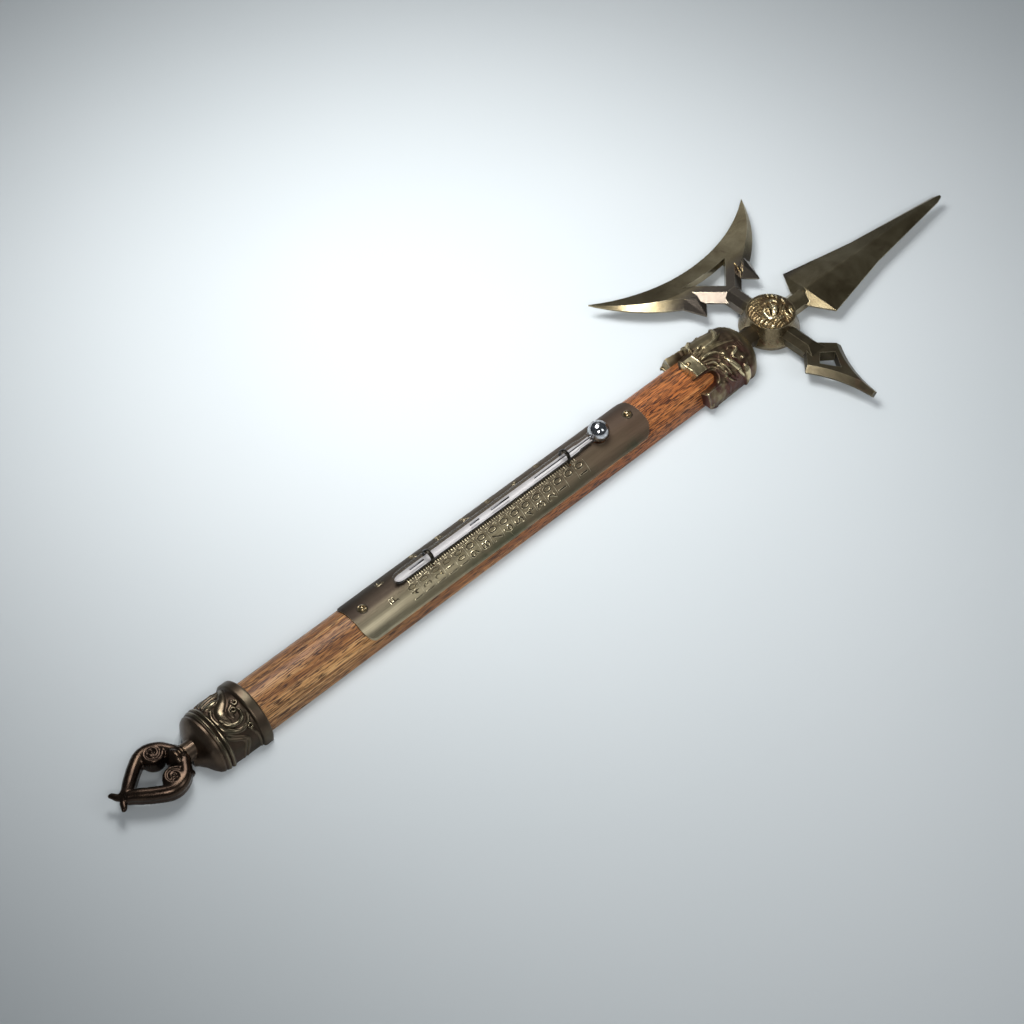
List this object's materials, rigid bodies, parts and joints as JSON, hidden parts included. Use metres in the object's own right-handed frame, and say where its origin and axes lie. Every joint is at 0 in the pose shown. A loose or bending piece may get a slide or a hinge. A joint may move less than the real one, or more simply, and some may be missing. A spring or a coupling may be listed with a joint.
{
  "type": "wall thermometer",
  "caption": "Wall thermometer shaped as a halberd: brass spear, axe and beak on an oak shaft, with a curved scale plate, mercury tube and pierced hanging loop.",
  "frame": {"origin": "the hub's centre, on the wall plane that the flat backs share", "axes": "+Y along the shaft from the head to the hanging loop, +Z out from the wall, +X towards the axe"},
  "size_m": [0.1341, 0.5226, 0.0238],
  "materials": {
    "oak": "waxed, dark open grain",
    "plate_brass": "browned, engraved lines filled black",
    "screw_brass": "worn",
    "tube_glass": "clear",
    "opal_white": "opal enamel glass",
    "mercury": "liquid metal",
    "dark_wire": "blackened wire",
    "cast_brass": "antiqued, rubbed bright on the relief",
    "dark_bronze": "dark brown patina, rubbed on the edges",
    "steel_rod": "plain",
    "gilt_brass": "antiqued gold",
    "blade_brass": "antiqued, bright edges"
  },
  "bodies": {
    "body": {"oak_shaft": "oak", "scale_plate": "plate_brass", "plate_screw_low": "screw_brass", "plate_screw_high": "screw_brass", "glass_tube": "tube_glass", "enamel_strip": "opal_white", "mercury_reservoir": "mercury", "mercury_thread": "mercury", "tube_clip_low": "dark_wire", "tube_clip_high": "dark_wire", "upper_ferrule": "cast_brass", "front_pin": "screw_brass", "side_pins": "screw_brass", "lower_ferrule": "dark_bronze", "lower_pin": "screw_brass", "end_cap": "dark_bronze", "finial": "dark_bronze", "finial_stud": "steel_rod", "head_tang": "steel_rod", "hub": "cast_brass", "medallion": "gilt_brass", "spear_point": "blade_brass", "axe_blade": "blade_brass", "beak": "blade_brass"},
    "mercury": {"mercury_meniscus": "mercury"}
  },
  "joints": [
    {"name": "mercury_column", "type": "slide", "parent": "body", "child": "mercury", "axis": [0, 1, 0], "range_m": [-0.023, 0.0775], "deforming": ["mercury_thread"]}
  ]
}
